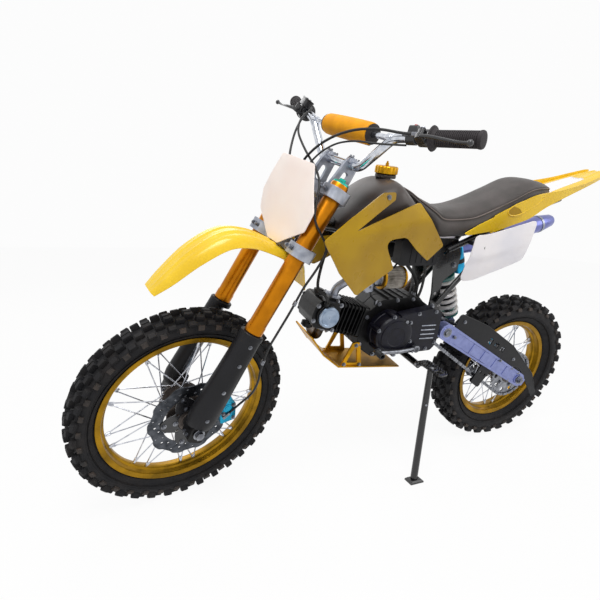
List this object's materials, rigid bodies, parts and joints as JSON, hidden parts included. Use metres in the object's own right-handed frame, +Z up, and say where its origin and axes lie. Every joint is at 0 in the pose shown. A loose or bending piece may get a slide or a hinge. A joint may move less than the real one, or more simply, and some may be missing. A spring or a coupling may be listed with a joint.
{
  "type": "petrol off-road motorcycle",
  "caption": "Light petrol dirt bike with a horizontal single-cylinder engine, upside-down fork, knobbly spoked wheels and motocross bodywork, leaning on its side stand",
  "frame": {"origin": "on the floor, at the middle of the bounding box", "axes": "+X forward, +Y to the rider's left, +Z up; the machine leans 10.5 degrees to its left on its side stand, with the handlebar turned 11.7 degrees left"},
  "size_m": [1.711, 0.689, 1.1569],
  "materials": {
    "tyre": "black knobbly rubber",
    "gold_rim": "gold anodised",
    "hub_grey": "grey-brown cast hub",
    "disc_steel": "dark brushed steel",
    "gold_tube": "amber anodised",
    "black_plastic": "black moulded",
    "cast_black": "black painted casting",
    "silver_alloy": "silver cast",
    "chrome_bar": "polished",
    "steel": "zinc plated",
    "black_frame": "gloss black",
    "yellow_plastic": "golden yellow moulded",
    "white_plastic": "white moulded",
    "gold_metal": "gold anodised",
    "pad_gold": "amber padded sleeve",
    "grip_rubber": "dark grey ribbed",
    "lever_black": "satin black",
    "caliper_blue": "blue anodised",
    "tank_grey": "dark grey moulded",
    "seat_vinyl": "dark grey vinyl",
    "filter_mesh": "pleated grey gauze",
    "exhaust_steel": "heat-darkened steel",
    "silencer_blue": "violet-blue anodised",
    "shock_teal": "teal",
    "spring_white": "white",
    "hose_black": "black hose"
  },
  "bodies": {
    "chassis": {"air_filter": "filter_mesh", "battery_covers": "black_plastic", "brake_pedal": "black_frame", "carburettor": "silver_alloy", "chain_guards": "black_plastic", "cylinder_barrel": "cast_black", "cylinder_head": "cast_black", "drive_chain": "steel", "engine_case": "cast_black", "exhaust_header": "exhaust_steel", "footrests": "black_frame", "fuel_tank": "tank_grey", "gear_lever": "steel", "kick_lever": "steel", "left_engine_cover": "cast_black", "main_frame": "black_frame", "rear_axle": "steel", "rear_caliper": "caliper_blue", "rear_fender": "yellow_plastic", "seat": "seat_vinyl", "shock_absorber": "shock_teal", "shock_spring": "spring_white", "side_panels": "white_plastic", "silencer": "silencer_blue", "skid_plate": "gold_metal", "subframe": "black_frame", "swingarm": "silver_alloy", "tank_cap": "gold_metal", "tank_shrouds": "yellow_plastic"},
    "steering": {"lower_clamp": "silver_alloy", "upper_clamp": "silver_alloy", "fork_tubes": "gold_tube", "fork_sliders": "cast_black", "fork_guards": "black_plastic", "front_axle": "steel", "front_fender": "yellow_plastic", "number_plate": "white_plastic", "handlebar": "chrome_bar", "bar_pad": "pad_gold", "grips": "grip_rubber", "clutch_lever": "lever_black", "brake_lever": "lever_black", "front_caliper": "caliper_blue", "brake_hose": "hose_black", "clutch_cable": "hose_black", "throttle_cable": "hose_black"},
    "front_wheel": {"front_tyre": "tyre", "front_rim": "gold_rim", "front_hub": "hub_grey", "front_disc": "disc_steel"},
    "rear_wheel": {"rear_tyre": "tyre", "rear_rim": "gold_rim", "rear_hub": "hub_grey", "rear_disc": "disc_steel", "rear_sprocket": "steel"},
    "side_stand_leg": {"side_stand": "black_frame"}
  },
  "joints": [
    {"name": "steering", "type": "hinge", "parent": "chassis", "child": "steering", "pos_m": [0.51979, -0.1576, 0.2621], "axis": [-0.4531, 0.1624, 0.8765], "range_deg": [-51.7, 28.3]},
    {"name": "front_wheel_spin", "type": "hinge", "parent": "steering", "child": "front_wheel", "pos_m": [0.56867, -0.1419, 0.28446], "axis": [-0.181, 0.946, -0.2688], "continuous": true},
    {"name": "rear_wheel_spin", "type": "hinge", "parent": "chassis", "child": "rear_wheel", "pos_m": [-0.5803, -0.15552, 0.27441], "axis": [-0.0002, 0.9833, -0.1822], "continuous": true},
    {"name": "side_stand_fold", "type": "hinge", "parent": "chassis", "child": "side_stand_leg", "pos_m": [-0.14021, -0.01173, 0.36937], "axis": [0.1287, 0.9902, 0.0538], "range_deg": [0, 100.9]}
  ]
}
